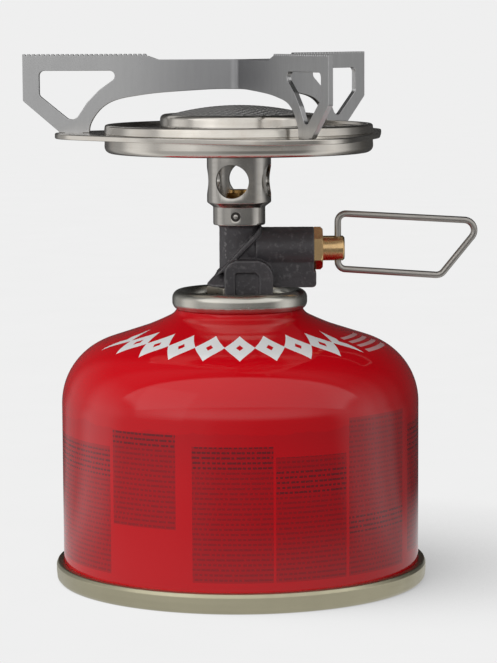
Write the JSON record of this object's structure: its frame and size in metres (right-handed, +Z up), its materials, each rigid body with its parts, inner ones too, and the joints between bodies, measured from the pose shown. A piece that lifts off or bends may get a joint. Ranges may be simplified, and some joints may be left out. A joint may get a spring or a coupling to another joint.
{
  "type": "canister stove",
  "caption": "Small upright backpacking gas stove with toothed pot supports and a folding wire valve handle, screwed onto a threaded gas canister.",
  "frame": {"origin": "centre of the canister's foot ring, on the ground", "axes": "+Z up along the canister and burner axis, +X along the control spindle toward its wire handle, -Y the front"},
  "size_m": [0.11, 0.0938, 0.1273],
  "materials": {
    "canister_shell": "gloss enamel",
    "canister_base": "lacquered tinplate",
    "valve_cup": "bright tinplate",
    "cup_gasket": "matt",
    "valve_housing": "natural moulding",
    "stem_gasket": "matt",
    "valve_stem": "natural moulding",
    "valve_spring": "drawn wire",
    "boss_seal": "matt",
    "thread_collar": "turned",
    "valve_body": "black satin coating on a rough casting",
    "actuator_pin": "turned",
    "gas_filter": "sintered",
    "gas_jet": "turned",
    "gland_nut": "turned",
    "spindle_seal": "matt",
    "spindle": "turned",
    "wire_handle": "satin drawn wire",
    "mixing_tube": "satin stainless",
    "lower_pan": "polished stainless",
    "support_plate": "satin stainless",
    "upper_pan": "polished stainless",
    "burner_cap": "polished stainless",
    "burner_mesh": "heat-darkened mesh",
    "pot_support_main": "satin stainless sheet",
    "pot_support_third": "satin stainless sheet"
  },
  "bodies": {
    "canister": {"canister_shell": "canister_shell", "canister_base": "canister_base", "valve_cup": "valve_cup", "cup_gasket": "cup_gasket", "valve_housing": "valve_housing", "stem_gasket": "stem_gasket", "valve_spring": "valve_spring"},
    "valve_stem": {"valve_stem": "valve_stem"},
    "head_seal": {"boss_seal": "boss_seal"},
    "head": {"thread_collar": "thread_collar", "valve_body": "valve_body", "actuator_pin": "actuator_pin", "gas_filter": "gas_filter", "gas_jet": "gas_jet", "gland_nut": "gland_nut", "mixing_tube": "mixing_tube", "lower_pan": "lower_pan", "support_plate": "support_plate", "upper_pan": "upper_pan", "burner_cap": "burner_cap", "burner_mesh": "burner_mesh", "pot_support_main": "pot_support_main", "pot_support_third": "pot_support_third"},
    "spindle_seal": {"spindle_seal": "spindle_seal"},
    "spindle": {"spindle": "spindle"},
    "handle": {"wire_handle": "wire_handle"}
  },
  "joints": [
    {"name": "head_lift", "type": "slide", "parent": "canister", "child": "head_seal", "axis": [0, 0, 1], "range_m": [0, 0.00726]},
    {"name": "head_turn", "type": "hinge", "parent": "head_seal", "child": "head", "pos_m": [0, 0, 0.0733], "axis": [0, 0, 1], "range_deg": [0, 2880]},
    {"name": "stem_rise", "type": "slide", "parent": "canister", "child": "valve_stem", "axis": [0, 0, 1], "range_m": [0, 0.00121], "deforming": ["valve_spring"]},
    {"name": "knob_travel", "type": "slide", "parent": "head", "child": "spindle_seal", "axis": [1, 0, 0], "range_m": [0, 0.00105]},
    {"name": "knob_turn", "type": "hinge", "parent": "spindle_seal", "child": "spindle", "pos_m": [0.0094, 0, 0.08035], "axis": [1, 0, 0], "range_deg": [0, 540]},
    {"name": "handle_fold", "type": "hinge", "parent": "spindle", "child": "handle", "pos_m": [0.0238, 0, 0.08035], "axis": [0, 0, 1], "range_deg": [-130, 130]}
  ],
  "couplings": [
    {"joint": "head_lift", "follows": "head_turn", "m_per_rad": 0.00014435},
    {"joint": "stem_rise", "follows": "head_turn", "m_per_rad": 0.000023873},
    {"joint": "knob_turn", "follows": "knob_travel", "rad_per_m": 8976}
  ]
}
